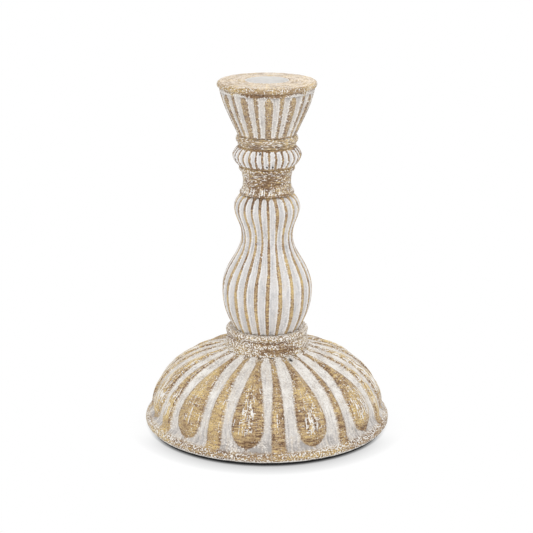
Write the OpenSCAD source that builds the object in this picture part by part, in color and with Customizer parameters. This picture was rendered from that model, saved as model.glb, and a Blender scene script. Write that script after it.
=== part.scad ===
// A turned and carved wooden candlestick for one dinner candle.
// The pieces are stacked along Z, and two dowels and one screw hold the stack together.
// The front faces -Y. Angles round the axis are counted from the front towards +X.

/* [Foot] */
// Outer diameter of the foot
foot_d = 134; // [120:1:150]
// Height of the foot, without the pad under it
foot_h = 42.7; // [36:0.1:50]
// Height of the plain band round the lower edge
band_h = 5; // [4:0.1:6]
// How far the band swells past its upper and lower edges
band_bulge = 1.3; // [0.8:0.1:2]
// How far the dome stands in from the widest part of the band
dome_inset = 3; // [2.4:0.1:5]
// Height of the dome's steepest level above the band
dome_rise = 4.1; // [3:0.1:6]
// How flat the dome's top is: 2 is an ellipse, more is flatter
dome_flat = 2.6; // [2:0.1:3]
// How upright the dome's side is: 2 is an ellipse, less leans in sooner
dome_side = 1.8; // [1.6:0.1:2.2]
// Ledge left round the collar at the top of the dome
dome_ledge = 0.5; // [0.2:0.1:2]
// Number of carved petals, with one rib between each two
petals = 11; // [9:1:13]
// Direction of one petal's middle, in degrees
petal_turn = -9.9; // [-20:0.1:20]
// Widest part of a petal
petal_w = 15.4; // [12:0.1:18]
// Width of a petal at the top of the dome
petal_top_w = 1; // [0.6:0.1:2.5]
// Height of a petal's lower tip above the band
petal_tip = 2.4; // [1.6:0.1:6]
// Height over which the tip rounds out to the petal's widest part
petal_round = 10.5; // [6:0.1:13]
// How pointed that tip is: 1 is half an ellipse, less is blunter
petal_point = 0.75; // [0.5:0.05:1]
// How far a petal's edges fall below its middle line
petal_crown = 1.2; // [0.4:0.1:1.6]
// Width of a rib at its lower end
rib_w = 7.2; // [5:0.1:9]
// How far the ribs stand below the middle line of the petals
rib_drop = 0.4; // [0:0.1:0.8]
// Depth of the grooves between petals and ribs
groove_depth = 2.3; // [1.5:0.1:2.8]
// Height over which the grooves run out above the band
groove_runout = 4; // [2:0.1:6]
// Height over which the grooves close below the collar
groove_end = 0.4; // [0.2:0.1:1.5]

/* [Collar] */
// Diameter of the collar where it stands on the foot
collar_d = 45.8; // [42:0.1:50]
// How much narrower the collar's band is at its top, per side
collar_taper = 0.9; // [0.2:0.1:1.5]
// Height of the collar's band
collar_band_h = 6.9; // [5:0.1:9]
// Height of the groove between the band and the flange
collar_groove_h = 0.5; // [0.3:0.1:1]
// Depth of that groove below the top of the band
collar_groove_depth = 0.5; // [0.3:0.1:2]
// Thickness of the rounded flange
flange_t = 3.9; // [3:0.1:5]
// Depth of the dish in the flange in which the stem stands
dish_depth = 0.5; // [0.3:0.1:1]
// Gap round the stem's foot in that dish
dish_gap = 1.2; // [0.3:0.1:2]

/* [Stem] */
// Diameter of the stem at its foot
stem_foot_d = 36; // [32:0.1:40]
// Diameter of the belly
belly_d = 48.7; // [44:0.1:54]
// Diameter of the waist
waist_d = 27.7; // [25:0.1:31]
// Diameter of the shoulder
shoulder_d = 35.5; // [32:0.1:39]
// Diameter of the stem at its top
stem_top_d = 28; // [25:0.1:30]
// Height from the foot of the stem to the belly
belly_h = 21.2; // [18:0.1:26]
// Height from the belly to the waist
taper_h = 29.9; // [25:0.1:36]
// Height from the waist to the shoulder
rise_h = 16; // [13:0.1:20]
// Height from the shoulder to the top of the stem
shoulder_h = 7.4; // [6:0.1:9]
// How long the belly and the waist keep their width: 1 is an even wave
fullness = 1.17; // [1:0.01:1.4]
// Number of flutes round the stem
flutes = 22; // [18:1:26]
// Direction of one ridge's middle, in degrees
flute_turn = 2.4; // [-10:0.1:10]
// Width of a ridge between two flutes, at the belly
ridge_w = 2; // [1.2:0.1:2.6]
// Depth of a flute at the belly
flute_depth = 1.1; // [0.6:0.1:1.4]

/* [Neck] */
// Height of the bead at the foot of the neck
neck_bead_h = 2; // [1.5:0.1:3]
// Diameter of that bead
neck_bead_d = 29.3; // [28.5:0.1:32]
// Height of the hollow between bead and fillet
hollow_h = 10.7; // [8:0.1:13]
// Smallest diameter of the hollow
hollow_d = 25.7; // [23:0.1:28]
// Height of the hollow's narrowest level above the bead
hollow_low = 4.2; // [3:0.1:6]
// Height of the fillet at the top of the neck
neck_fillet_h = 2.4; // [1.6:0.1:3.2]
// Diameter of that fillet
neck_fillet_d = 30; // [29:0.1:32]

/* [Knop] */
// Diameter of the knop
knop_d = 36.8; // [33:0.1:40]
// Diameter of the knop's two ends
knop_end_d = 29.6; // [28:0.1:31]
// Height of the knop below its widest level
knop_low_h = 6; // [5:0.1:8]
// Height of the knop above its widest level
knop_high_h = 5.2; // [4:0.1:7]
// Number of flutes round the knop
knop_flutes = 30; // [24:1:36]
// Direction of one of the knop's ridges, in degrees
knop_turn = -8; // [-12:0.1:12]
// Width of a ridge on the knop
knop_ridge_w = 1.1; // [0.8:0.1:1.4]
// Depth of a flute on the knop
knop_flute_depth = 0.8; // [0.4:0.1:1.1]

/* [Cup] */
// Diameter of the step under the bead ring
bead_step_d = 31; // [29.6:0.1:33]
// Height of that step
bead_step_h = 1.3; // [1:0.1:2]
// Diameter of the bead ring
bead_d = 33.3; // [32:0.1:36]
// Height of the bead
bead_h = 4.4; // [3.4:0.1:5.4]
// Diameter of the cup at its foot
cup_foot_d = 31.4; // [29:0.1:34]
// Diameter of the cup under the rim
cup_top_d = 50; // [46:0.1:54]
// Height of the cup
cup_h = 23.1; // [20:0.1:28]
// Outward slope of the cup's wall at its foot
cup_slope_low = 0.44; // [0.3:0.01:0.6]
// Outward slope of the cup's wall under the rim
cup_slope_high = 0.2; // [0.1:0.01:0.3]
// Number of wide ribs round the cup, with one narrow rib between each two
cup_ribs = 11; // [9:1:13]
// Direction of one wide rib's middle, in degrees
cup_turn = 2.1; // [-16:0.1:16]
// Width of a wide rib under the rim
wide_rib_w = 3.5; // [2.6:0.1:4.4]
// Width of a narrow rib under the rim
narrow_rib_w = 1.8; // [1.2:0.1:2.4]
// Depth of the cup's grooves under the rim
cup_groove_depth = 1.1; // [0.6:0.1:1.5]
// Height over which the cup's grooves and wide ribs run out
cup_runout = 1.6; // [1:0.1:2.5]

/* [Rim] */
// Diameter of the step under the rim
rim_step_d = 50.2; // [48:0.1:52]
// Height of that step
rim_step_h = 1.3; // [1:0.1:3.2]
// Height of the undercut between the step and the rounded edge
undercut_h = 0.4; // [0.2:0.1:0.8]
// Depth of the undercut
undercut_depth = 0.3; // [0.2:0.1:1.5]
// Diameter of the rim
rim_d = 52.8; // [51:0.1:56]
// Thickness of the rim's rounded edge
rim_t = 3.7; // [2:0.1:5]
// How far the top of the rim rises from its edge to the candle hole
rim_crown = 0.3; // [0:0.1:1]
// Width of the bevel round the candle hole
lip_bevel = 0.4; // [0.3:0.1:1]

/* [Candle socket] */
// Bore of the metal liner, for a candle of 22 mm
socket_d = 22.2; // [20:0.1:24]
// Depth of the socket below the top of the rim
socket_depth = 20; // [17:0.1:21]
// Wall of the liner
liner_wall = 0.35; // [0.3:0.05:0.8]
// Thickness of the liner's floor
liner_floor = 0.5; // [0.4:0.1:1]
// How far the liner's edge stays below the top of the rim
liner_drop = 0.2; // [0.1:0.1:2]
// Gap round the liner in the wood
liner_gap = 0.05; // [0.05:0.05:0.2]

/* [Dowels and screw] */
// Diameter of the upper dowel
upper_dowel_d = 12; // [9:0.1:14]
// Depth of the upper dowel's hole in the cup
cup_mortise = 6; // [4:0.1:7]
// Depth of the upper dowel's hole in the stem
stem_top_mortise = 14; // [10:0.1:18]
// Diameter of the lower dowel
lower_dowel_d = 18; // [14:0.1:22]
// Depth of the lower dowel's hole in the stem
stem_mortise = 20; // [14:0.1:26]
// Depth of the lower dowel's hole in the foot
foot_mortise = 20; // [14:0.1:22]
// Glue gap round each dowel
glue_gap = 0.1; // [0.05:0.05:0.2]
// Diameter of the screw's shank
screw_d = 4.2; // [3.5:0.1:5]
// How far the screw reaches into the lower dowel
screw_bite = 22; // [15:0.1:28]
// Length of the screw's point
screw_point = 5; // [3:0.1:8]
// Diameter of the screw's head
screw_head_d = 9.6; // [8:0.1:11]
// Height of the screw's head
screw_head_h = 3; // [2:0.1:3.6]
// Width of the cross slots in the screw's head
screw_slot_w = 1.2; // [0.8:0.1:1.6]
// Gap round the screw in the washer and the foot
screw_gap = 0.4; // [0.2:0.1:0.8]
// Outer diameter of the washer
washer_d = 14; // [12:0.1:16]
// Thickness of the washer
washer_t = 1.2; // [0.8:0.1:1.6]
// Gap round the washer in its recess
recess_gap = 1; // [0.5:0.1:2]
// Room left under the screw's head in the recess
recess_room = 1.6; // [0.6:0.1:3]

/* [Pad] */
// Thickness of the pad under the foot
pad_t = 1.2; // [0.8:0.1:2]
// How far the pad stands in from the widest part of the foot
pad_inset = 2.3; // [1.6:0.1:5]

/* [Hidden] */
$fn = 96;

// Heights at which the pieces start
flange_round = flange_t / 2;
collar_h = collar_band_h + collar_groove_h + flange_t - dish_depth;
stem_h = belly_h + taper_h + rise_h + shoulder_h;
neck_h = neck_bead_h + hollow_h + neck_fillet_h;
knop_h = knop_low_h + knop_high_h;
ring_h = bead_step_h + bead_h;
rim_h = rim_step_h + undercut_h + rim_t + rim_crown;
foot_z = pad_t;
collar_z = foot_z + foot_h;
stem_z = collar_z + collar_h;
neck_z = stem_z + stem_h;
knop_z = neck_z + neck_h;
ring_z = knop_z + knop_h;
cup_z = ring_z + ring_h;
rim_z = cup_z + cup_h;
top_z = rim_z + rim_h;

// The dome, measured from the underside of the foot
dome_r = foot_d / 2 - dome_inset;
dome_top_r = collar_d / 2 + dome_ledge;
band_ledge = 0.3;
dome_low_r = foot_d / 2 - band_bulge - band_ledge;
spring_z = band_h + dome_rise;
dome_half_h = (foot_h - spring_z) / pow(1 - pow(dome_top_r / dome_r, dome_flat), 1 / dome_side);
tip_z = band_h + petal_tip;
widest_z = tip_z + petal_round;
tip_min_w = 2;
top_groove_share = 0.55;
cut_lean_max = 2.5;
dome_sink = 1;

// The stem's flutes stay as wide an angle all the way up
ridge_angle = ridge_w / belly_d * 360 / PI;
knop_ridge_angle = knop_ridge_w / knop_d * 360 / PI;
wide_rib_angle = wide_rib_w / cup_top_d * 360 / PI;
narrow_rib_angle = narrow_rib_w / cup_top_d * 360 / PI;

// The candle hole and the fastenings
hole_d = socket_d + 2 * (liner_wall + liner_gap);
liner_z = top_z - socket_depth - liner_floor;
recess_d = washer_d + 2 * recess_gap;
recess_h = recess_room + screw_head_h + washer_t;
recess_top_z = foot_z + recess_h;
lower_dowel_z = collar_z - foot_mortise;
upper_dowel_z = neck_z - stem_top_mortise;
screw_hole_d = screw_d + 2 * screw_gap;
screw_tip_z = lower_dowel_z + screw_bite;

// Value part of the way from a to b
function mix(a, b, t) = a + (b - a) * t;

// Value kept between 0 and 1
function unit(t) = min(max(t, 0), 1);

// Smooth wave from 0 to 1, held back at its start by a power over 1
function wave(t, power) = (1 - cos(180 * pow(unit(t), power))) / 2;

// Point at an angle from the front, a distance from the axis and a height
function polar(angle, r, z) = [r * sin(angle), -r * cos(angle), z];

// Points of an arc in a profile
function arc(centre, r, from, to, steps = 8) = [
    for (i = [0:steps])
        let (a = mix(from, to, i / steps))
        centre + r * [cos(a), sin(a)]
];

// Half round that swells out between two heights of a profile, flatter where it swells less
function swelling(r, z, h, swell) =
    let (
        round_r = (h * h / 4 + swell * swell) / (2 * swell),
        half_angle = atan2(h / 2, round_r - swell)
    )
    arc([r - round_r, z + h / 2], round_r, -half_angle, half_angle);

// One groove between two edges: its inner points as [angle, depth], hollow in the middle
function groove(edge_a, edge_b, depth, steps) = [
    for (i = [1:steps - 1])
        let (
            t = i / steps,
            hollow = 4 * t * (1 - t),
            edge = mix(edge_a, edge_b, t)
        )
        [edge[0], mix(edge[1], depth, hollow)]
];

// Full ring of one outline, given as [angle, depth], repeated round the axis
function ring(outline, count, turn, r, z) = [
    for (k = [0:count - 1], p = outline)
        polar(turn + k * 360 / count + p[0], r - p[1], z)
];

// Solid over rings of points that lie one above the other, closed by a fan at each end
module skin(rings) {
    n = len(rings[0]);
    last = len(rings) - 1;
    low = n * (last + 1);
    high = low + 1;
    points = concat(
        [for (r = rings) each r],
        [[0, 0, rings[0][0].z], [0, 0, rings[last][0].z]]
    );
    walls = [
        for (k = [0:last - 1], i = [0:n - 1])
            let (a = k * n + i, b = k * n + (i + 1) % n)
            each [[a, a + n, b + n], [a, b + n, b]]
    ];
    ends = [
        for (i = [0:n - 1])
            let (j = (i + 1) % n)
            each [[low, i, j], [high, last * n + j, last * n + i]]
    ];
    polyhedron(points, concat(walls, ends), convexity = 8);
}

// Round bar along the axis, also taken away as a hole
module bar(d, from, to) {
    translate([0, 0, from]) cylinder(d = d, h = to - from);
}

// Turned solid from a profile of [radius, height] points, closed along the axis or along a hole's wall
module turned(profile) {
    rotate_extrude() polygon(profile);
}

// Dome radius at a height above the underside of the foot: a flattened ellipse above a short flare
function dome_at(z) =
    z < spring_z
        ? mix(dome_r, dome_low_r, pow((spring_z - max(z, band_h)) / dome_rise, 2))
        : dome_r * pow(1 - pow((z - spring_z) / dome_half_h, dome_side), 1 / dome_flat);

// How far a petal has rounded out above its tip
function petal_out(z) = sqrt(1 - pow(1 - unit((z - tip_z) / petal_round), 2));

// Width of a petal: round at the tip, then slowly narrower towards the top of the dome
function petal_at(z) =
    z < widest_z
        ? max(tip_min_w, petal_w * pow(petal_out(z), petal_point))
        : mix(petal_top_w, petal_w, cos(90 * (z - widest_z) / (foot_h - widest_z)));

// Depth of the dome's grooves, which run out above the band, grow shallower upwards and close at the collar
function dome_groove_at(z) =
    groove_depth * sin(90 * unit((z - band_h) / groove_runout))
        * mix(1, top_groove_share, unit((z - widest_z) / (foot_h - widest_z)))
        * unit((foot_h - z) / groove_end);

// How much longer a level cut is than one made straight into the dome, which leans over towards its top
function cut_lean(z) =
    let (
        rise = max(z - spring_z, 0) / dome_half_h,
        width = pow(1 - pow(rise, dome_side), 1 / dome_flat - 1),
        slope = dome_r / dome_half_h * dome_side / dome_flat * pow(rise, dome_side - 1) * width
    )
    min(sqrt(1 + slope * slope), cut_lean_max);

// One petal and one rib of the dome, as [angle, depth]
function dome_outline(z) =
    let (
        r = dome_at(z),
        deep = dome_groove_at(z),
        out = petal_out(z),
        half_pitch = 180 / petals,
        petal_half = petal_at(z) / r * 90 / PI,
        rib_half = rib_w * r / dome_r / dome_r * 90 / PI,
        petal_fall = deep * (1 - out),
        petal_edge = petal_fall + min(petal_crown, deep) * out,
        rib_fall = min(rib_drop, deep),
        petal = [for (v = [-1, -0.5, 0, 0.5, 1]) [v * petal_half, mix(petal_fall, petal_edge, v * v)]],
        rib_left = [half_pitch - rib_half, rib_fall],
        rib_right = [half_pitch + rib_half, rib_fall],
        next_petal = [2 * half_pitch - petal_half, petal_edge]
    )
    [
        for (p = concat(
            petal,
            groove(petal[4], rib_left, deep, 4),
            [rib_left, rib_right],
            groove(rib_right, next_petal, deep, 4)
        ))
            [p[0], p[1] * cut_lean(z)]
    ];

// Carved dome on a plain band, with the dowel's hole above and the screw's recess below
module foot() {
    skirt_levels = [for (t = [0, 0.3, 0.65, 1]) mix(band_h, tip_z, t)];
    tip_levels = [for (t = [0.08, 0.25, 0.55, 1]) mix(tip_z, widest_z, t)];
    dome_start = asin((widest_z - spring_z) / dome_half_h);
    dome_end = asin((foot_h - groove_end - spring_z) / dome_half_h);
    dome_levels = [
        for (i = [1:5])
            spring_z + dome_half_h * sin(mix(dome_start, dome_end, i / 5))
    ];
    levels = concat([band_h - dome_sink], skirt_levels, tip_levels, dome_levels, [foot_h]);
    color("burlywood")
    difference() {
        translate([0, 0, foot_z])
        union() {
            turned(concat([[0, 0]], swelling(foot_d / 2, 0, band_h, band_bulge), [[0, band_h]]));
            skin([for (z = levels) ring(dome_outline(z), petals, petal_turn, dome_at(z), z)]);
        }
        bar(lower_dowel_d + 2 * glue_gap, lower_dowel_z, collar_z + 1);
        bar(screw_hole_d, foot_z, collar_z);
        bar(recess_d, foot_z - 1, recess_top_z);
    }
}

// Plain turned ring with a tapered band, a groove and a flange whose dish takes the stem
module stem_collar() {
    band_top_r = collar_d / 2 - collar_taper;
    groove_r = band_top_r - collar_groove_depth;
    flange_z = collar_band_h + collar_groove_h + flange_round;
    dish_angle = 180 - asin((flange_round - dish_depth) / flange_round);
    flange_r = stem_foot_d / 2 + dish_gap - flange_round * cos(dish_angle);
    color("tan")
    difference() {
        translate([0, 0, collar_z])
        turned(concat(
            [[0, 0], [collar_d / 2, 0], [band_top_r, collar_band_h]],
            [[groove_r, collar_band_h], [groove_r, collar_band_h + collar_groove_h]],
            arc([flange_r, flange_z], flange_round, -90, dish_angle, 14),
            [[0, collar_h]]
        ));
        bar(lower_dowel_d + 2 * glue_gap, collar_z - 1, stem_z + 1);
    }
}

// Radius of the stem at a height above its foot
function stem_at(z) =
    let (
        foot_r = stem_foot_d / 2,
        belly_r = belly_d / 2,
        waist_r = waist_d / 2,
        shoulder_r = shoulder_d / 2,
        top_r = stem_top_d / 2,
        waist_z = belly_h + taper_h,
        shoulder_z = waist_z + rise_h
    )
    z < belly_h ? mix(belly_r, foot_r, pow(1 - z / belly_h, 2))
    : z < waist_z ? mix(belly_r, waist_r, wave((z - belly_h) / taper_h, fullness))
    : z < shoulder_z ? mix(waist_r, shoulder_r, wave((z - waist_z) / rise_h, fullness))
    : mix(shoulder_r, top_r, pow((z - shoulder_z) / shoulder_h, 2));

// One ridge and one flute, as [angle, depth]
function flute_outline(count, ridge, depth, steps) =
    let (left = [-ridge / 2, 0], right = [ridge / 2, 0], next = [360 / count - ridge / 2, 0])
    concat([left, right], groove(right, next, depth, steps));

// Vase-shaped stem with flutes from end to end
module baluster() {
    waist_z = belly_h + taper_h;
    levels = concat(
        [for (i = [0:4]) mix(0, belly_h, i / 4)],
        [for (i = [1:6]) belly_h + taper_h * i / 6],
        [for (i = [1:4]) waist_z + rise_h * i / 4],
        [for (i = [1:3]) waist_z + rise_h + shoulder_h * i / 3]
    );
    color("antiquewhite")
    difference() {
        translate([0, 0, stem_z])
        skin([
            for (z = levels)
                let (r = stem_at(z), depth = flute_depth * r / (belly_d / 2))
                ring(flute_outline(flutes, ridge_angle, depth, 5), flutes, flute_turn, r, z)
        ]);
        bar(lower_dowel_d + 2 * glue_gap, stem_z - 1, stem_z + stem_mortise);
        bar(upper_dowel_d + 2 * glue_gap, upper_dowel_z, neck_z + 1);
    }
}

// Waisted ring with a bead below and a fillet above
module neck_ring() {
    hollow_r = hollow_d / 2;
    low_r = neck_bead_d / 2 - neck_bead_h / 4;
    high_r = neck_fillet_d / 2 - neck_fillet_h / 2;
    hollow_points = [
        for (i = [0:12])
            let (
                z = hollow_h * i / 12,
                below = unit(1 - z / hollow_low),
                above = unit((z - hollow_low) / (hollow_h - hollow_low))
            )
            [
                hollow_r + (low_r - hollow_r) * pow(below, 2) + (high_r - hollow_r) * pow(above, 2),
                neck_bead_h + z
            ]
    ];
    color("tan")
    difference() {
        translate([0, 0, neck_z])
        turned(concat(
            [[0, 0]],
            swelling(neck_bead_d / 2, 0, neck_bead_h, neck_bead_h / 4),
            hollow_points,
            swelling(neck_fillet_d / 2, neck_bead_h + hollow_h, neck_fillet_h, neck_fillet_h / 4),
            [[0, neck_h]]
        ));
        bar(upper_dowel_d + 2 * glue_gap, neck_z - 1, knop_z + 1);
    }
}

// Small fluted bulb, its flutes closing at both ends
module knop() {
    levels = [for (i = [0:6]) knop_h * i / 6];
    color("antiquewhite")
    difference() {
        translate([0, 0, knop_z])
        skin([
            for (z = levels)
                let (
                    side = z < knop_low_h ? (knop_low_h - z) / knop_low_h : (z - knop_low_h) / knop_high_h,
                    r = mix(knop_end_d, knop_d, cos(90 * side)) / 2,
                    depth = knop_flute_depth * sqrt(sin(180 * z / knop_h))
                )
                ring(flute_outline(knop_flutes, knop_ridge_angle, depth, 4), knop_flutes, knop_turn, r, z)
        ]);
        bar(upper_dowel_d + 2 * glue_gap, knop_z - 1, ring_z + 1);
    }
}

// Bead ring on a small step
module cup_ring() {
    color("tan")
    difference() {
        translate([0, 0, ring_z])
        turned(concat(
            [[0, 0], [bead_step_d / 2, 0], [bead_step_d / 2, bead_step_h]],
            swelling(bead_d / 2, bead_step_h, bead_h, bead_h / 3),
            [[0, ring_h]]
        ));
        bar(upper_dowel_d + 2 * glue_gap, ring_z - 1, cup_z + 1);
    }
}

// Radius of the cup at a height above its foot: a curve with a set slope at each end
function cup_at(z) =
    let (t = z / cup_h, u = 1 - t)
    cup_foot_d / 2 * u * u * (1 + 2 * t) + cup_top_d / 2 * t * t * (1 + 2 * u)
        + cup_h * t * u * (cup_slope_low * u - cup_slope_high * t);

// One wide and one narrow rib of the cup, as [angle, depth]
function cup_outline(z) =
    let (
        half_pitch = 180 / cup_ribs,
        deep = cup_groove_depth * cup_at(z) / (cup_top_d / 2) * sin(90 * unit(z / cup_runout)),
        wide_fall = deep * pow(unit(1 - (cup_h - z) / cup_runout), 2),
        wide_edge = max(wide_fall, deep / 4),
        wide = [for (v = [-1, 0, 1]) [v * wide_rib_angle / 2, mix(wide_fall, wide_edge, abs(v))]],
        narrow_left = [half_pitch - narrow_rib_angle / 2, 0],
        narrow_right = [half_pitch + narrow_rib_angle / 2, 0],
        next_wide = [2 * half_pitch - wide_rib_angle / 2, wide[0][1]]
    )
    concat(
        wide,
        groove(wide[2], narrow_left, deep, 4),
        [narrow_left, narrow_right],
        groove(narrow_right, next_wide, deep, 4)
    );

// Trumpet-shaped cup with wide and narrow ribs
module candle_cup() {
    levels = concat(
        [0, cup_runout / 2],
        [for (i = [0:4]) mix(cup_runout, cup_h - cup_runout, i / 4)],
        [cup_h - cup_runout / 2, cup_h]
    );
    color("antiquewhite")
    difference() {
        translate([0, 0, cup_z])
        skin([for (z = levels) ring(cup_outline(z), cup_ribs, cup_turn, cup_at(z), z)]);
        bar(upper_dowel_d + 2 * glue_gap, cup_z - 1, cup_z + cup_mortise);
        bar(hole_d, liner_z, rim_z + 1);
    }
}

// Rim disc with a rounded edge over a step, a slightly raised top and the candle hole
module drip_rim() {
    hole_r = hole_d / 2;
    undercut_r = rim_step_d / 2 - undercut_depth;
    edge_z = rim_step_h + undercut_h + rim_t / 2;
    color("tan")
    translate([0, 0, rim_z])
    turned(concat(
        [[hole_r, 0], [rim_step_d / 2, 0], [rim_step_d / 2, rim_step_h]],
        [[undercut_r, rim_step_h], [undercut_r, rim_step_h + undercut_h]],
        arc([rim_d / 2 - rim_t / 2, edge_z], rim_t / 2, -90, 90, 12),
        [[hole_r + lip_bevel, rim_h], [hole_r, rim_h - lip_bevel]]
    ));
}

// Thin metal cup that lines the candle hole
module candle_liner() {
    liner_d = socket_d + 2 * liner_wall;
    color("silver")
    difference() {
        bar(liner_d, liner_z, top_z - liner_drop);
        bar(socket_d, liner_z + liner_floor, top_z);
    }
}

// Dowel from the stem up into the cup
module upper_dowel() {
    color("peru") bar(upper_dowel_d, upper_dowel_z, cup_z + cup_mortise);
}

// Dowel from the foot up into the stem, drilled for the screw
module lower_dowel() {
    color("peru")
    difference() {
        bar(lower_dowel_d, lower_dowel_z, stem_z + stem_mortise);
        bar(screw_d + 2 * glue_gap, lower_dowel_z - 1, screw_tip_z + glue_gap);
    }
}

// Pan-head screw with a pointed shank and a cross recess
module foot_screw() {
    head_z = recess_top_z - washer_t - screw_head_h;
    seat_z = recess_top_z - washer_t;
    slot_l = screw_head_d * 0.6;
    slot_h = screw_head_h * 0.5;
    color("gray")
    difference() {
        union() {
            translate([0, 0, head_z]) cylinder(d1 = screw_head_d * 0.8, d2 = screw_head_d, h = screw_head_h);
            bar(screw_d, seat_z - 1, screw_tip_z - screw_point);
            translate([0, 0, screw_tip_z - screw_point])
            cylinder(d1 = screw_d, d2 = screw_d * 0.1, h = screw_point);
        }
        for (turn = [0, 90])
            rotate([0, 0, turn])
            translate([-slot_l / 2, -screw_slot_w / 2, head_z - 1])
            cube([slot_l, screw_slot_w, slot_h + 1]);
    }
}

// Flat washer between the screw's head and the wood
module screw_washer() {
    color("silver")
    difference() {
        bar(washer_d, recess_top_z - washer_t, recess_top_z);
        bar(screw_hole_d, foot_z, collar_z);
    }
}

// Thin dark pad that covers the underside of the foot
module base_pad() {
    color("dimgray") cylinder(d = foot_d - 2 * pad_inset, h = pad_t);
}

base_pad();
foot();
stem_collar();
baluster();
neck_ring();
knop();
cup_ring();
candle_cup();
drip_rim();
candle_liner();
upper_dowel();
lower_dowel();
foot_screw();
screw_washer();
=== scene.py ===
"""Looks of a turned and carved wooden candlestick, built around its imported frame.

Lengths in the shape functions are millimetres. Angles are degrees from the front (-Y) towards +X.
"""

import math
from statistics import NormalDist
from types import SimpleNamespace

import bpy
import numpy as np
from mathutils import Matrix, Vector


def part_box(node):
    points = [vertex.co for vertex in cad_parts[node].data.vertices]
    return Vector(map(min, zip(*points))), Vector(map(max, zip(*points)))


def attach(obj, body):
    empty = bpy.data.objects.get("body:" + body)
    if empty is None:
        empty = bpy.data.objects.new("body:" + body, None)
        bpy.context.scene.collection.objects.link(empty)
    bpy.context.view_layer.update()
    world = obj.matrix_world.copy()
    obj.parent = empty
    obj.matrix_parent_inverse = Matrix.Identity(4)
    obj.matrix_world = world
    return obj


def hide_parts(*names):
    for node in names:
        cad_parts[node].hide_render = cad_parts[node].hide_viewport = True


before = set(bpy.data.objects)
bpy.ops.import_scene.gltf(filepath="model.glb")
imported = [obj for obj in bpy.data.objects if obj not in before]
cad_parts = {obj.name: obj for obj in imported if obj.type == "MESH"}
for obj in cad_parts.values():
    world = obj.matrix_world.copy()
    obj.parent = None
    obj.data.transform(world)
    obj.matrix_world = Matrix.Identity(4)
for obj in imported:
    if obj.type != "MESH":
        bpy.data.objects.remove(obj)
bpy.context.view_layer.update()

MM = 0.001

# Camera, fitted to the ellipses of the foot, flange, rim and hole
CAMERA_PLACE = (-0.26, -843.2, 332.6)
CAMERA_PITCH = 16.164
CAMERA_LENS = 109.73
SENSOR_W = 36

# Foot
BAND_H = 5.0
BAND_BULGE = 1.3
DOME_INSET = 3.0
DOME_RISE = 4.1
DOME_FLAT = 2.6
DOME_SIDE = 1.8
DOME_LEDGE = 0.5
FLARE_STEP = 0.3
PETALS = 11
PETAL_TURN = -9.9
PETAL_W = 15.4
PETAL_TOP_W = 1.0
PETAL_TIP = 2.4
PETAL_ROUND = 10.5
PETAL_BLUNT = 0.75
PETAL_CROWN = 1.2
RIB_W = 7.2
RIB_DROP = 0.35
RIB_CROWN = 0.25
GROOVE_DEPTH = 2.3
GROOVE_TOP = 0.7
GROOVE_END = 0.35
GROOVE_END_H = 2.5
SEAM_H = 0.3
GROOVE_ROUND = 2.6
GROOVE_RUNOUT = 4.0

# Stem collar
COLLAR_TAPER = 0.9
COLLAR_BAND_H = 6.9
COLLAR_GROOVE_H = 0.5
COLLAR_GROOVE = 0.5
COLLAR_BREAK = 0.4
FLANGE_T = 3.9
FLANGE_START = -50
DISH_DEPTH = 0.5
DISH_GAP = 1.2
STEM_LAP = 2.0

# Stem
STEM_FOOT_R = 18.0
WAIST_R = 13.85
SHOULDER_R = 17.75
STEM_TOP_R = 14.0
BELLY_H = 21.2
TAPER_H = 29.9
RISE_H = 16.0
FULLNESS = 1.17
FLUTES = 22
FLUTE_TURN = 2.4
FLUTE_DEPTH = 1.1
FLUTE_CROWN = 0.12
RIDGE_W = 2.0
SWAY = 4.0
SWAY_REACH = 17.0
UNEVEN = 2.4
UNEVEN_TURN = 14.0

# Neck
NECK_BEAD_H = 2.0
NECK_BEAD_R = 14.65
HOLLOW_R = 12.85
HOLLOW_LOW = 4.2
NECK_FILLET_H = 2.4
NECK_FILLET_R = 15.0

# Knop
KNOP_END_R = 14.8
KNOP_LOW_H = 6.0
KNOP_FLUTES = 30
KNOP_TURN = -8.0
KNOP_RIDGE_W = 1.1
KNOP_DEPTH = 0.8
KNOP_PLAIN = 0.9
KNOP_ROUND = 2.5

# Cup and its ring
BEAD_STEP_R = 15.5
BEAD_STEP_H = 1.3
CUP_FOOT_R = 15.7
CUP_SLOPE_LOW = 0.44
CUP_SLOPE_HIGH = 0.2
CUP_RIBS = 11
CUP_TURN = 2.1
WIDE_RIB_W = 3.5
WIDE_RIB_CROWN = 0.15
WIDE_RIB_GAP = 0.5
WIDE_RIB_ROUND = 2.0
NARROW_RIB_W = 1.8
NARROW_RIB_DROP = 0.1
CUP_GROOVE_DEPTH = 1.1
CUP_GROOVE_ROUND = 2.4
CUP_RUNOUT = 1.6
CUP_PLAIN = 0.4
CUP_TOP_R = 25.0

# Rim
RIM_STEP_R = 25.1
RIM_STEP_H = 1.3
UNDERCUT_H = 0.4
UNDERCUT = 0.3
RIM_T = 3.7
RIM_START = -85
RIM_CROWN = 0.3
LIP_BEVEL = 0.4
LIP_H = 2.0

# Broken edges and the gaps and bores inside
EDGE_BREAK = 0.2
STEP_BREAK = 0.3
UNDER_BREAK = 0.1
GLUE_GAP = 0.1
LINER_GAP = 0.05
RECESS_GAP = 1.0
SCREW_BORE = 2.5
BORE_WEB = 1.0

# Rows along a profile are about this far apart where nothing else is said
ROW_STEP = 0.42

# Edges that turn by more degrees than this are shaded as sharp
SHARP_ANGLE = 55

# Least width that a petal, rib or groove is divided by
LEAST_W = 0.1

# Reach of a patch of paint that goes all round or all the way up
ALL = math.inf

# Values that each point carries for the paint, as they are where nothing is said: distance into
# a groove, shares of strokes along and round, soiling with painted shade (painted light below 0),
# stain, rubbing, and pits, painted near black as painted shade, as is the foot's lowest edge
PAINT_VALUES = {
    "edge": -3.0, "crest": 0.0, "sweep": 0.0, "grime": 0.0, "stain": 0.0, "rub": 0.0, "pit": 0.0,
}


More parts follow.
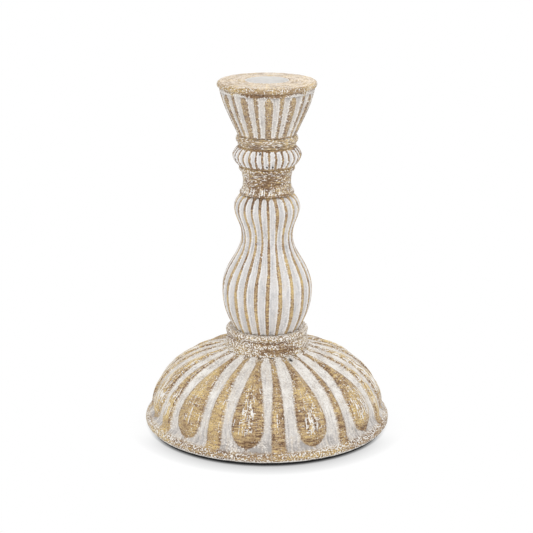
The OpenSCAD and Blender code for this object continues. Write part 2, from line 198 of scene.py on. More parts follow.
def reach(node):
    """Lowest level, highest level and largest radius of a node."""
    low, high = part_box(node)
    return low.z / MM, high.z / MM, max(high.x, high.y, -low.x, -low.y) / MM


FOOT_Z, COLLAR_Z, FOOT_R = reach("foot")
_, _, COLLAR_R = reach("stem_collar")
STEM_Z, NECK_Z, BELLY_R = reach("baluster")
_, KNOP_Z, _ = reach("neck_ring")
_, RING_Z, KNOP_R = reach("knop")
_, CUP_Z, BEAD_R = reach("cup_ring")
_, RIM_Z, _ = reach("candle_cup")
_, TOP_Z, RIM_R = reach("drip_rim")
LINER_Z, _, LINER_R = reach("candle_liner")
UPPER_Z, UPPER_TOP, UPPER_R = reach("upper_dowel")
LOWER_Z, LOWER_TOP, LOWER_R = reach("lower_dowel")
_, RECESS_TOP, WASHER_R = reach("screw_washer")
UPPER_BORE = UPPER_R + GLUE_GAP
LOWER_BORE = LOWER_R + GLUE_GAP
HOLE_R = LINER_R + LINER_GAP
RECESS_R = WASHER_R + RECESS_GAP


# Small helpers for curves
def unit(t):
    return np.clip(t, 0.0, 1.0)


def smooth(t):
    t = unit(t)
    return t * t * (3 - 2 * t)


def mix(a, b, t):
    return a + (b - a) * t


def wave(t, power):
    """Wave from 0 to 1, held back at its start by a power over 1."""
    return (1 - np.cos(np.pi * unit(t) ** power)) / 2


def arc(r, z, radius, start, end, steps=16):
    a = np.radians(np.linspace(start, end, steps + 1))
    return np.c_[r + radius * np.cos(a), z + radius * np.sin(a)]


def swelling(r, z, height, bulge):
    """Outward curve between two levels, whose farthest point is at radius r."""
    radius = (height * height / 4 + bulge * bulge) / (2 * bulge)
    half = math.degrees(math.atan2(height / 2, radius - bulge))
    return arc(r - radius, z + height / 2, radius, -half, half)


def line(*points):
    return np.array(points, float)


def run_along(path):
    """Distance from the start of a path to each of its points."""
    return np.r_[0, np.cumsum(np.hypot(*np.diff(path, axis=0).T))]


def even_rows(*stretches, step=ROW_STEP):
    """One profile through all stretches, with rows an even distance apart."""
    path = np.concatenate(stretches)
    path = path[np.r_[True, np.diff(run_along(path)) > 1e-6]]
    run = run_along(path)
    at = np.linspace(0, run[-1], max(2, round(run[-1] / step)) + 1)
    return np.c_[np.interp(at, run, path[:, 0]), np.interp(at, run, path[:, 1])]


def from_nearest(angle, first, pitch):
    """Turn from the nearest of the directions that lie a pitch apart."""
    return (angle - first + pitch / 2) % pitch - pitch / 2


def away_from_front(angle):
    return np.abs((angle + 180) % 360 - 180)


def ripple(angle, run, seed, around, along, count=14):
    """Uneven surface from about -1 to 1, closed round the axis, from seeded waves."""
    random = np.random.default_rng(seed)
    total = 0
    for _ in range(count):
        turns = random.integers(0, around + 1)
        length = along * random.uniform(0.6, 2.5)
        phase = random.uniform(0, 2 * np.pi)
        total = total + np.sin(np.radians(angle) * turns + 2 * np.pi * run / length + phase)
    return total / math.sqrt(count) / 1.4


def unevenness(angle, run, seed, size, around=60, along=6):
    """Fine uneven depth of about this size."""
    return size * (1 + ripple(angle, run, seed, around, along, 30))


def smear(angle, z, at, level, wide, tall):
    """Soft patch round one direction and level, from 0 to 1."""
    turn = (angle - at + 180) % 360 - 180
    return np.exp(-(turn / wide) ** 2 - ((z - level) / tall) ** 2)


def patches(angle, z, base, rows):
    """Sum of soft patches. A row is direction, height over the base, reach round and up, and strength."""
    return sum(share * smear(angle, z, at, base + up, wide, tall) for at, up, wide, tall, share in rows)


# Meshes
def add_piece(name, node, points, quads, fans, uv, material):
    """Object from points in millimetres, riding on the one body and standing for a node."""
    mesh = bpy.data.meshes.new(name)
    mesh.vertices.add(len(points))
    mesh.vertices.foreach_set("co", (points * MM).ravel())
    corners = np.concatenate([quads.ravel(), fans.ravel()])
    sizes = np.r_[np.full(len(quads), 4), np.full(len(fans), 3)]
    mesh.loops.add(len(corners))
    mesh.loops.foreach_set("vertex_index", corners)
    mesh.polygons.add(len(sizes))
    mesh.polygons.foreach_set("loop_start", np.cumsum(sizes) - sizes)
    mesh.update(calc_edges=True)
    mesh.uv_layers.new(name="OFBake").data.foreach_set("uv", uv.ravel())
    mesh.validate()
    mesh.shade_smooth()
    mesh.set_sharp_from_angle(angle=math.radians(SHARP_ANGLE))
    mesh.materials.append(material)
    piece = bpy.data.objects.new(name, mesh)
    bpy.context.scene.collection.objects.link(piece)
    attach(piece, "root")
    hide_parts(node)
    return piece


def set_points(piece, name, kind, field, values):
    """Values that the points of a piece carry for its material."""
    data = piece.data.attributes.new(name, kind, "POINT").data
    data.foreach_set(field, values.ravel().astype(np.float32))


def lathe_faces(rows, columns, closed):
    """Lower rows of the quads, and the corners of the quads and of the fans that close both ends.

    The fans meet in two points on the axis that come after all rows.
    """
    index = np.arange(rows * columns).reshape(rows, columns)
    following = np.roll(index, -1, axis=1)
    lower = np.arange(1, rows - 2) if closed else np.arange(rows)
    upper = (lower + 1) % rows
    quads = np.stack([index[lower], following[lower], following[upper], index[upper]], axis=-1)
    fans = np.zeros((0, 3), int)
    if closed:
        start = np.full(columns, rows * columns)
        fans = np.concatenate([
            np.c_[start, following[1], index[1]],
            np.c_[start + 1, index[rows - 2], following[rows - 2]],
        ])
    return lower, quads.reshape(-1, 4), fans


def lathe_map(share, columns, strips, closed, lower):
    """Map of the surface: strips of angle one above the other, in which each row has its share."""
    height = np.r_[0, np.cumsum(share)] / share.sum()
    per_strip = columns // strips
    strip = np.arange(columns) // per_strip
    left = (np.arange(columns) - strip * per_strip) / per_strip
    right = left + 1 / per_strip

    def corner(u, row):
        v = (strip[None, :] + height[row][:, None]) / strips
        return np.stack(np.broadcast_arrays(u[None, :], v), axis=-1)

    faces = [[corner(left, lower), corner(right, lower), corner(right, lower + 1), corner(left, lower + 1)]]
    if closed:
        middle = (left + right) / 2
        low, high = np.array([1]), np.array([len(share) - 2])
        faces.append([corner(middle, low - 1), corner(right, low), corner(left, low)])
        faces.append([corner(middle, high + 1), corner(left, high), corner(right, high)])
    return np.concatenate([np.stack(face, axis=2).reshape(-1, 2) for face in faces])


def lathe(name, node, paint, outline, below, above, columns, carve, strips=1):
    """Turned piece: outline is what shows, from its lowest point up; below and above close it.

    carve(angle, r, z, run) gives the depth of carving and the paint's values for each point.
    Where below starts on the axis and above ends on it, the piece is closed there; otherwise it is a ring.
    """
    r, z = outline.T
    run = run_along(outline)
    lean = np.gradient(outline, run, axis=0)
    angle = np.arange(columns)[None, :] * 360 / columns
    made = carve(angle, r[:, None], z[:, None], run[:, None])
    ring_r = r[:, None] - made["depth"] * lean[:, 1:2]
    ring_z = np.clip(z[:, None] + made["depth"] * lean[:, 0:1], z.min(), z.max())

    # Carved rows between the plain ones that close the piece
    below, above = np.array(below, float), np.array(above, float)
    closed = below[0, 0] == 0
    plain = np.ones(columns)
    all_r = np.concatenate([below[:, 0:1] * plain, ring_r, above[:, 0:1] * plain])
    all_z = np.concatenate([below[:, 1:2] * plain, ring_z, above[:, 1:2] * plain])
    rows, first, last = len(all_r), len(below), len(below) + len(r)
    side, front = np.sin(np.radians(angle)), -np.cos(np.radians(angle))
    grid = np.stack([all_r * side, all_r * front, all_z], axis=-1)
    points = np.concatenate([grid.reshape(-1, 3), grid[0, :1], grid[-1, :1]])

    # Only points that a face uses are kept; hidden rows are squeezed together in the map
    lower, quads, fans = lathe_faces(rows, columns, closed)
    share = np.full(rows, 0.01)
    share[first:last - 1] = np.diff(run) / run[-1]
    uv = lathe_map(share, columns, strips, closed, lower)
    used, renumbered = np.unique(np.concatenate([quads.ravel(), fans.ravel()]), return_inverse=True)
    quads = renumbered[:quads.size].reshape(-1, 4)
    fans = renumbered[quads.size:].reshape(-1, 3)
    piece = add_piece(name, node, points[used], quads, fans, uv, paint.owner)

    # Paint's values, and the surface laid round a straight tube for the drawn-out patterns
    for key, value in PAINT_VALUES.items():
        field = np.full((rows, columns), value)
        field[first:last] = made.get(key, value)
        set_points(piece, key, "FLOAT", "value", np.r_[field.ravel(), value, value][used])
    all_run = np.r_[np.zeros(first), run, np.full(rows - last, run[-1])]
    tube = np.stack(np.broadcast_arrays(r.mean() * side, r.mean() * front, all_run[:, None]), axis=-1)
    tube = tube.reshape(-1, 3)
    set_points(piece, "wrap", "FLOAT_VECTOR", "vector", np.concatenate([tube, tube[:2]])[used])


# Materials
def linear(red, green, blue):
    """Colour as seen on screen, 0 to 255, as the renderer's own numbers."""
    def one(c):
        c /= 255
        return c / 12.92 if c <= 0.04045 else ((c + 0.055) / 1.055) ** 2.4
    return (one(red), one(green), one(blue), 1.0)


# Spread of a noise about its middle, one half
NOISE_SPREAD = 0.115


class Graph:
    """Short ways to add and join the nodes of one material, or of the world."""

    def __init__(self, owner, shader="Principled BSDF"):
        owner.use_nodes = True
        self.owner = owner
        self.nodes = owner.node_tree.nodes
        self.links = owner.node_tree.links
        self.shader = self.nodes[shader]

    def put(self, socket, value):
        if isinstance(value, bpy.types.NodeSocket):
            self.links.new(value, socket)
        else:
            socket.default_value = value

    def shade(self, name, value):
        self.put(self.shader.inputs[name], value)

    def add(self, kind, inputs, **settings):
        """Node whose inputs, by name or number, are set or joined."""
        node = self.nodes.new("ShaderNode" + kind)
        for key, value in settings.items():
            setattr(node, key, value)
        for key, value in inputs.items():
            self.put(node.inputs[key], value)
        return node

    def carried(self, name, output="Fac"):
        """Value or vector that the points carry."""
        return self.add("Attribute", {}, attribute_name=name).outputs[output]

    def place(self):
        """Place on the object, in metres."""
        return self.add("TexCoord", {}).outputs["Object"]

    def stretch(self, vector, scale, shift=(0, 0, 0)):
        node = self.add("Mapping", {"Vector": vector, "Scale": scale, "Location": shift})
        return node.outputs["Vector"]

    def noise(self, vector, scale, detail=2.0, roughness=0.5, distortion=0.0):
        inputs = {"Vector": vector, "Scale": scale, "Detail": detail, "Roughness": roughness,
                  "Distortion": distortion}
        return self.add("TexNoise", inputs).outputs["Fac"]

    def math(self, operation, a, b=0.0, c=0.0):
        return self.add("Math", {0: a, 1: b, 2: c}, operation=operation).outputs[0]

    def times(self, a, b):
        return self.math("MULTIPLY", a, b)

    def times_plus(self, a, b, c):
        """a times b, plus c."""
        return self.math("MULTIPLY_ADD", a, b, c)

    def most(self, a, b):
        return self.math("MAXIMUM", a, b)

    def rest(self, share):
        """What a share leaves of the whole."""
        return self.math("SUBTRACT", 1.0, share)

    def step(self, value, low, high, to_low=0.0, to_high=1.0):
        """Soft step from to_low to to_high as value goes from low to high."""
        inputs = {"Value": value, "From Min": low, "From Max": high, "To Min": to_low, "To Max": to_high}
        return self.add("MapRange", inputs, interpolation_type="SMOOTHSTEP").outputs["Result"]

    def blend(self, share, a, b):
        """Mix of two colours, whose sockets have numbers because their names aren't their own."""
        return self.add("Mix", {"Factor": share, 6: a, 7: b}, data_type="RGBA").outputs[2]

    def about(self, noise, strength, base):
        """Base plus the noise's departure from its middle."""
        return self.times_plus(self.math("SUBTRACT", noise, 0.5), strength, base)

    def spots(self, noise, share, soft=0.05):
        """Crisp spots over about this share of the surface."""
        level = 0.5 + NOISE_SPREAD * NormalDist().inv_cdf(1 - share)
        return self.step(noise, level - soft / 2, level + soft / 2)

    def ramp(self, value, stops):
        node = self.add("ValToRGB", {"Fac": value})
        elements = node.color_ramp.elements
        while len(elements) < len(stops):
            elements.new(0.5)
        for element, (place, colour) in zip(elements, stops):
            element.position = place
            element.color = colour
        return node.outputs["Color"]

    def bump(self, height, strength, distance):
        inputs = {"Strength": strength, "Distance": distance, "Height": height}
        self.shade("Normal", self.add("Bump", inputs).outputs["Normal"])

    def seen(self):
        """1 for rays that show the thing itself: straight, mirrored or let through."""
        rays = self.add("LightPath", {}).outputs
        seen = self.most(rays["Is Camera Ray"], rays["Is Glossy Ray"])
        return self.most(seen, rays["Is Transmission Ray"])


WARM_CHALK = [linear(172, 167, 163), linear(205, 200, 196), linear(221, 216, 209), linear(240, 237, 232)]
PALE_CHALK = [linear(166, 165, 166), linear(202, 200, 199), linear(219, 216, 214), linear(239, 238, 237)]
CREAM = linear(236, 222, 205)
PALE_GOLD = linear(232, 210, 158)
GOLD = linear(212, 184, 126)
TAN = linear(187, 162, 124)
BROWN = linear(152, 122, 89)
DARK = linear(107, 80, 55)
# Near black for small holes and the foot's lowest edge: painted shade
SHADE_BLACK = linear(46, 40, 36)

# Places of the chalk's colours among shades, and of the paint's among tones
CHALK_STOPS = (0.2, 0.4, 0.54, 0.76)
PAINT_STOPS = [(0.25, DARK), (0.37, BROWN), (0.5, TAN), (0.62, GOLD), (0.76, PALE_GOLD)]
FLECK_STOPS = [(0.4, DARK), (0.6, BROWN)]

# How a coat of paint looks where a piece says nothing else
PAINT_LOOK = {
    "chips": 0.04,  # share of white chips on what stands out
    "flecks": 0.1,  # share of brown flecks in the paint
    "holes": 0.02,  # share of bare spots in the wash
    "wash": (0.1, 0.6),  # distances into a groove at which the wash starts and is whole
    "ragged": 2.0,  # how uneven the wash's edge is
    "tone": 0.0,  # shift of the paint from brown (below 0) to gold
    "lines": 0.5,  # strength of the brush lines that run round the piece
    "strokes": 0.0,  # share of white dry-brush strokes, along for crest and round for sweep
    "hair": (1.5, 0.17),  # how fine the strokes are across their run and along it
    "streaks": 0.5,  # strength of the streaks that run along the carving
    "chalk": WARM_CHALK,  # the wash's colours, from grey to white
    "bright": 0.0,  # shift among these colours
    "blotch": 0.4,  # strength of the wash's cloudy patches
    "sheer": 0.3,  # how much paint shows through the wash in streaks
    # lit: the wash paler at its edges and darker in the middle is partly paint built up at the edges and
    # partly painted shade for the groove's depth
    "lit": 0.25,  # how much paler the wash is along its edges
    "cream": 0.0,  # strength of a thin cream coat where crest is set
    "soft": 0.06,  # width of the chips' edges
    "grain": (1.0, 1.0),  # how fine the speckle is round the piece and along it
    "speckle": 0.8,  # strength of the speckle in the paint
    "dust": 0.0,  # share of chalk dust over the paint
}


class PaintedWood(Graph):
    """Gold and brown paint under a chalky wash that fills the carving and is rubbed off the rest."""

    def __init__(self, name, **changes):
        super().__init__(bpy.data.materials.new(name))
        self.look = SimpleNamespace(**{**PAINT_LOOK, **changes})
        self.at = SimpleNamespace(**{key: self.carried(key) for key in PAINT_VALUES})
        self.near = self.step(self.at.edge, -0.9, -0.1)
        self.make_noises()
        toned = self.tone()
        chipped = self.chips()
        cover = self.most(self.wash(), chipped)
        coat = self.blend(cover, self.paint(toned), self.chalk(chipped))
        # Near black where pits and the foot's lowest edge are marked: painted shade in holes, painted
        # shadow at the pad
        self.shade("Base Color", self.blend(self.step(self.at.pit, 0.3, 0.7), coat, SHADE_BLACK))
        self.shade("Roughness", self.step(cover, 0.0, 1.0, 0.5, 0.8))
        self.shade("Metallic", self.times(self.step(toned, 0.45, 0.7, 0.0, 0.35), self.rest(cover)))
        self.shade("Specular IOR Level", 0.35)
        relief = self.times_plus(self.across, self.look.lines, self.math("ADD", self.grit, self.sand))
        self.bump(self.times_plus(cover, 0.4, relief), 0.6, 0.25 * MM)

    def wrapped(self, scale, shift, size=1.0, detail=2.0, roughness=0.5, distortion=0.0):
        """Noise on the surface laid round a tube, in millimetres."""
        return self.noise(self.stretch(self.wrap, scale, shift), size, detail, roughness, distortion)

    def make_noises(self):
        """Noises that the coats share: speckles, clouds, and patterns drawn out round and along."""
        self.wrap = self.carried("wrap", "Vector")
        turned, along = self.look.grain
        fine = (turned / MM, turned / MM, along / MM)
        self.grit = self.noise(self.stretch(self.place(), fine), 1.3, 1.0)
        self.sand = self.noise(self.stretch(self.place(), fine, (31, 7, 13)), 1.15, 1.0)
        self.patch = self.wrapped((1, 1, 1), (5, 41, 3), 0.1, 3.0, 0.55)
        self.cluster = self.wrapped((1, 1, 1), (17, 3, 59), 0.17)
        self.across = self.wrapped((0.22, 0.22, 1.3), (0, 0, 0), 1.0, 2.0, 0.65, 0.3)
        self.along = self.wrapped((1.0, 1.0, 0.09), (3, 9, 27), 1.0, 3.0, 0.65)

    def tone(self):
        """Tone of the paint, from dark to gold: patches drawn out in lines round the piece."""
        toned = self.about(self.sand, self.look.speckle, 0.56 + self.look.tone)
        toned = self.about(self.patch, 0.6, self.about(self.across, self.look.lines, toned))
        toned = self.times_plus(self.near, -0.08, toned)
        toned = self.times_plus(self.at.crest, self.about(self.along, 1.0, 0.0), toned)
        return self.times_plus(self.at.stain, self.about(self.across, 1.2, -0.24), toned)

    def paint(self, toned):
        """Colour of the paint, with brown flecks, dust and a thin cream coat."""
        look = self.look
        flecked = self.spots(self.times_plus(self.at.rub, 0.1, self.sand), look.flecks)
        brown = self.ramp(self.grit, FLECK_STOPS)
        paint = self.blend(self.times(flecked, 0.8), self.ramp(toned, PAINT_STOPS), brown)
        if look.dust:
            paint = self.blend(look.dust, paint, look.chalk[1])
        if look.cream:
            mottle = self.wrapped((0.13, 0.13, 0.8), (9, 23, 51), 1.0, 2.0, 0.6)
            thin = self.about(mottle, 2.6, self.about(self.grit, 1.0, self.times(self.at.crest, 0.5)))
            paint = self.blend(self.step(thin, 0.1, 0.8, 0.0, look.cream), paint, CREAM)
        return paint

    def wash(self):
        """Share of the wash that fills the grooves."""
        look = self.look
        border = self.about(self.along, look.ragged, self.about(self.grit, look.ragged, self.at.edge))
        thin = self.step(self.about(self.cluster, 0.5, self.along), 0.48, 0.7, 0.0, look.sheer)
        filled = self.times(self.step(border, *look.wash), self.rest(thin))
        bare = self.spots(self.wrapped((1, 1, 1), (71, 19, 5), 0.9, 2.0, 0.6), look.holes)
        return self.times(filled, self.rest(bare))

    def chips(self):
        """Share of white chips and strokes on what stands out."""
        look = self.look
        chip = self.times_plus(self.near, 0.04, self.about(self.cluster, 0.15, self.grit))
        chip = self.times_plus(self.at.rub, 0.13, chip)
        chip = self.times_plus(self.most(self.at.stain, 0.0), -0.12, chip)
        chipped = self.spots(chip, look.chips, look.soft)
        if look.strokes:
            thick, long = look.hair
            drawn_along = self.wrapped((thick, thick, long), (61, 27, 8), 1.0, 0.0)
            drawn_round = self.wrapped((2.5 * long, 2.5 * long, thick), (2, 67, 9), 1.0, 0.0)
            for drawn, where in ((drawn_along, self.at.crest), (drawn_round, self.at.sweep)):
                drawn = self.times_plus(where, 0.35, self.math("SUBTRACT", drawn, 0.35))
                drawn = self.about(self.grit, 0.42, self.about(self.cluster, 0.13, drawn))
                chipped = self.most(chipped, self.spots(drawn, look.strokes, 0.04))
        return chipped

    def chalk(self, chipped):
        """Colour of the wash: streaked and cloudy, greyer with soiling and painted shade,
        paler with painted light, and palest on chips.
        """
        look = self.look
        shade = self.about(self.cluster, look.blotch, self.about(self.grit, 0.35, 0.5 + look.bright))
        shade = self.about(self.along, look.streaks, shade)
        grime_shade_mottle = self.about(self.cluster, 1.2, self.about(self.sand, 0.9, -0.17))
        # Soiling and painted shade grey the wash; below 0 the value is painted light that pales it
        shade = self.times_plus(self.at.grime, grime_shade_mottle, shade)
        # Paler along the wash's edges: built-up paint, and painted shade that leaves the middle darker
        shade = self.times_plus(self.step(self.at.edge, 1.0, 0.3), look.lit, shade)
        shade = self.times_plus(chipped, 0.16, shade)
        return self.ramp(shade, list(zip(CHALK_STOPS, look.chalk)))


# Foot: a swelling band, a short flare and a dome of petals, ribs and grooves
DOME_R = FOOT_R - DOME_INSET
DOME_TOP_R = COLLAR_R + DOME_LEDGE
BAND_TOP = FOOT_Z + BAND_H
BAND_EDGE_R = FOOT_R - BAND_BULGE
SPRING_Z = BAND_TOP + DOME_RISE
DOME_HALF_H = (COLLAR_Z - SPRING_Z) / (1 - (DOME_TOP_R / DOME_R) ** DOME_FLAT) ** (1 / DOME_SIDE)
TIP_Z = BAND_TOP + PETAL_TIP
WIDEST_Z = TIP_Z + PETAL_ROUND

# Patches on the foot, over the level of the petals' tips; patches() says what a row holds
PETAL_WIDER = ((-2, 0, 5, ALL, 0.8),)
RIB_WIDER = ((3, 10, 3, 12, 0.6),)
RIB_NARROWER = ((11, 8, 5, 16, 0.6), (39, 14, 8, 26, 0.55), (72, 14, 8, 26, 0.33))
RIB_STROKES = ((7, 14, 8, 9, 0.65),)
FOOT_STROKES = (
    (-42, 0, 14, ALL, -0.25), (26, 11, 9, 7, 0.12), (18, 23, 7, 5, -0.35), (58, 27, 12, 6, -0.7),
    (-60, 25, 14, 6, -0.5),
)
# Rows above 0 grey the coves with soiling and painted shade; rows below 0 are painted light on the sides
# and the left cove
FOOT_GRIME_AND_SHADE = (
    (-9, -1, 16, 3, 1.2), (-36, -1, 13, 4, -0.6), (52, 0, 40, ALL, -0.55), (-62, 0, 25, ALL, -0.5),
    (-31, 3, 4, 2.5, 0.3), (-17, 0.5, 4, 2.5, 0.7), (-4, 0.5, 4, 2.5, 1.2), (11, 3, 4, 2.5, 0.3),
    (46, 2, 4, 2.5, 1.2), (140, 2, 4, 2.5, 0.9), (-110, 2, 4, 2.5, 0.9),
)
FOOT_STAINS = (
    (-42, 0, 14, ALL, -0.175), (24, 0, 8, ALL, -0.25), (-69, 6, 12, 7, -0.5), (-10, 29, 5, 4, -0.25),
    (41, -2, 8, 4, 0.4), (58, 27, 12, 5, 0.75), (-60, 25, 12, 5, 0.4),
)
PETAL_STAINS = ((4, 0, 26, ALL, 0.2),)
BAND_STAINS = ((0, 0, 15, ALL, 0.15), (30, 0, 18, ALL, -0.3))
BAND_UNWORN = ((0, 0, 15, ALL, 0.25),)

# Small hole at the foot's top, painted near black as painted shade, measured from there
FOOT_PITS = ((30, -0.4, 4, 0.5, 0.7),)


def foot_outline():
    flare_z = np.linspace(BAND_TOP, SPRING_Z, 9)
    flare_r = mix(DOME_R, BAND_EDGE_R - FLARE_STEP, ((SPRING_Z - flare_z) / DOME_RISE) ** 2)
    rise = np.sin(np.linspace(0, math.asin((COLLAR_Z - SPRING_Z) / DOME_HALF_H), 120))
    dome = np.c_[DOME_R * (1 - rise ** DOME_SIDE) ** (1 / DOME_FLAT), SPRING_Z + DOME_HALF_H * rise]
    band = swelling(FOOT_R, FOOT_Z, BAND_H, BAND_BULGE)
    return even_rows(band, np.c_[flare_r, flare_z], dome, step=0.6)


def petal_pattern(angle, r, z, run):
    """Where each point lies between the middle of the nearest petal and that of the next rib."""
    p = SimpleNamespace()
    pitch = 360 / PETALS
    p.across = np.abs(np.radians(from_nearest(angle, PETAL_TURN, pitch))) * r
    p.half_pitch = math.radians(pitch / 2) * r
    p.rise = unit((z - WIDEST_Z) / (COLLAR_Z - WIDEST_Z))
    p.out = np.sqrt(1 - (1 - unit((z - TIP_Z) / PETAL_ROUND)) ** 2)
    taper = mix(PETAL_TOP_W, PETAL_W, np.cos(np.pi / 2 * p.rise))
    petal_half = np.where(z < WIDEST_Z, PETAL_W * p.out ** PETAL_BLUNT, taper) / 2
    wobble = 0.35 * ripple(angle, run, 11, 9, 30) * r / DOME_R
    p.petal_half = petal_half + p.out * (wobble + patches(angle, z, TIP_Z, PETAL_WIDER))
    rib_half = RIB_W / 2 * (r / DOME_R) ** 2 + 0.2 * ripple(angle, run, 12, 9, 30) * r / DOME_R
    rib_half = rib_half * (1 - patches(angle, z, TIP_Z, RIB_NARROWER))
    p.rib_half = rib_half + patches(angle, z, TIP_Z, RIB_WIDER)
    p.past_petal = np.where(z < TIP_Z, np.hypot(p.across, TIP_Z - z), p.across - p.petal_half)
    p.past_rib = p.half_pitch - p.across - p.rib_half
    return p


def foot_depth(p, z):
    """Crowned petals, flat ribs, and round grooves between them that run out at the band and collar."""
    carved = smooth((z - BAND_TOP) / GROOVE_RUNOUT)
    ended = mix(GROOVE_END, 1.0, smooth((COLLAR_Z - z) / GROOVE_END_H)) * smooth((COLLAR_Z - z) / SEAM_H)
    deep = GROOVE_DEPTH * carved * mix(1.0, GROOVE_TOP, p.rise) * ended
    sunk = deep * (1 - p.out)
    crown = PETAL_CROWN * p.out * carved
    petal = sunk + crown * unit(p.across / np.maximum(p.petal_half, LEAST_W)) ** 2
    rib = carved * (RIB_DROP + RIB_CROWN * unit((p.half_pitch - p.across) / p.rib_half) ** 4)
    width = np.maximum(p.half_pitch - p.petal_half - p.rib_half, LEAST_W)
    t = unit((p.across - p.petal_half) / width)
    edge_depth = mix(np.minimum(sunk + crown, deep), (RIB_DROP + RIB_CROWN) * carved, t)
    groove = edge_depth + (deep - edge_depth) * (1 - np.abs(2 * t - 1) ** GROOVE_ROUND)
    depth = np.where(p.across < p.petal_half, petal, np.where(p.past_rib < 0, rib, groove))
    return np.maximum(depth, 0)


def sideways(angle):
    """0 in front, 1 at the sides, less again at the back."""
    away = away_from_front(angle)
    return smooth((away - 35) / 25) * mix(1.0, 0.4, smooth((away - 110) / 30))


def foot_brushed(p, angle, z, edge, aside):
    """Dry-brush strokes along the petals' middles, and with them all that stands out at the sides."""
    force = 1.0
    for row in FOOT_STROKES:
        force = force * (1 + patches(angle, z, TIP_Z, [row]))
    middle = unit(1 - p.across / np.maximum(p.petal_half, LEAST_W))
    height = smooth((z - TIP_Z - 4) / 4) * smooth((COLLAR_Z + 2.1 - z) / 16)
    brushed = smooth(2 * middle - 0.3) * height * force
    return brushed, np.maximum(brushed, 1.15 * aside * force * smooth((z - TIP_Z - 2) / 6) * (edge < 0))


def foot_grime_and_shade(angle, z):
    """Greyer at the feet of the grooves: soiling and painted shade in the coves. Paler higher up and at
    the band's lowest edge: painted light against their shade. Patches of both.
    """
    cove_soil_and_shade = 0.9 * smooth((TIP_Z + 6 - z) / 7) * smooth((z - BAND_TOP) / 2)
    painted_light = 0.6 * smooth((z - WIDEST_Z) / 15) + 1.2 * smooth(FOOT_Z + 2.1 - z)
    return cove_soil_and_shade - painted_light + patches(angle, z, TIP_Z, FOOT_GRIME_AND_SHADE)


def foot_stain_and_shade(p, angle, z, run, edge, aside, band):
    """Brown at the petals' tips, partly painted shade where they face down, and, at the sides, along the
    edges of what stands out.
    """
    drawn = np.exp(-((edge + 0.3) / 0.35) ** 2) * smooth((z - TIP_Z) / 4)
    stain = 0.25 * smooth(ripple(angle, run, 14, 7, 25)) + aside * (0.7 * drawn - 0.4)
    # Browner petal tips: stain and painted shade on their downward-facing ends
    stain = stain + 0.35 * (p.past_petal < 0.3) * smooth((TIP_Z + 5 - z) / 4)
    stain = stain + (p.past_petal < 0) * patches(angle, z, TIP_Z, PETAL_STAINS)
    stain = stain + band * patches(angle, z, TIP_Z, BAND_STAINS)
    return stain + patches(angle, z, TIP_Z, FOOT_STAINS)


def carve_foot(angle, r, z, run):
    p = petal_pattern(angle, r, z, run)
    pit = patches(angle, z, COLLAR_Z, FOOT_PITS)
    depth = foot_depth(p, z) + unevenness(angle, run, 13, 0.06) + pit
    aside = sideways(angle)
    band = smooth((BAND_TOP + 1.5 - z) / 2)
    joint = smooth((z - COLLAR_Z + 1.0) / 0.8)

    # The wash stops at the band, and there is a little more of it near the table
    edge = np.minimum(np.minimum(p.past_petal, p.past_rib) * DOME_R / r, (z - BAND_TOP + 0.6) * 0.8)
    edge = np.maximum(edge, (FOOT_Z + 1.7 - z) * 2)
    scuffed = smooth(0.3 + ripple(angle, run, 15, 22, 70)) * np.exp(-((edge + 0.7) / 0.7) ** 2)
    brushed, crest = foot_brushed(p, angle, z, edge, aside)
    crest = np.maximum(crest, 0.9 * scuffed * smooth((z - TIP_Z) / 6))
    crest = np.maximum(crest, (p.past_rib < 0) * patches(angle, z, TIP_Z, RIB_STROKES))
    edge = edge - 2.5 * joint - 0.2 * aside
    worn = band * (mix(0.75, 1.0, aside) - patches(angle, z, TIP_Z, BAND_UNWORN))
    rub = unit(worn + joint + 0.15 * scuffed + 0.25 * smooth((TIP_Z + 1 - z) / 5) + 0.2 * aside)
    return {
        "depth": depth, "edge": edge, "crest": crest, "sweep": 0.8 * brushed, "rub": rub,
        "grime": foot_grime_and_shade(angle, z), "stain": foot_stain_and_shade(p, angle, z, run, edge, aside, band),
        # The band's lowest edge is painted near black: painted shadow where the foot meets its pad
        "pit": np.maximum(pit, smooth((FOOT_Z + 0.75 - z) / 0.3)),
    }


def make_foot():
    below = [(0, LOWER_Z - BORE_WEB), (SCREW_BORE, LOWER_Z - BORE_WEB), (SCREW_BORE, RECESS_TOP),
             (RECESS_R, RECESS_TOP), (RECESS_R, FOOT_Z)]
    above = [(LOWER_BORE, COLLAR_Z), (LOWER_BORE, LOWER_Z), (0, LOWER_Z)]
    paint = PaintedWood(
        "foot_paint", wash=(0.0, 1.6), ragged=1.6, strokes=0.2, hair=(1.7, 0.24), tone=-0.07, lines=0.85,
        soft=0.04, streaks=1.2, bright=-0.06, chips=0.052, flecks=0.13, speckle=0.7, lit=0.0,
    )
    lathe("carved_foot", "foot", paint, foot_outline(), below, above, PETALS * 56,
          carve_foot, strips=2)


# Plain turned rings share one surface: slight unevenness and rubbed paint
def carve_plain(seed, size, values):
    """Carving for a turned piece: values(angle, r, z) gives the paint's values."""
    def carve(angle, r, z, run):
        return {"depth": unevenness(angle, run, seed, size, 40, 5), "rub": 1.0, **values(angle, r, z)}
    return carve


# Stained patches on the collar, over its lower edge
COLLAR_STAINS = (
    (22, 3.2, 24, 1.5, 1.8), (10, COLLAR_BAND_H + 0.3, 40, 0.9, 1.0), (-60, COLLAR_BAND_H, 30, 2, 0.4),
)


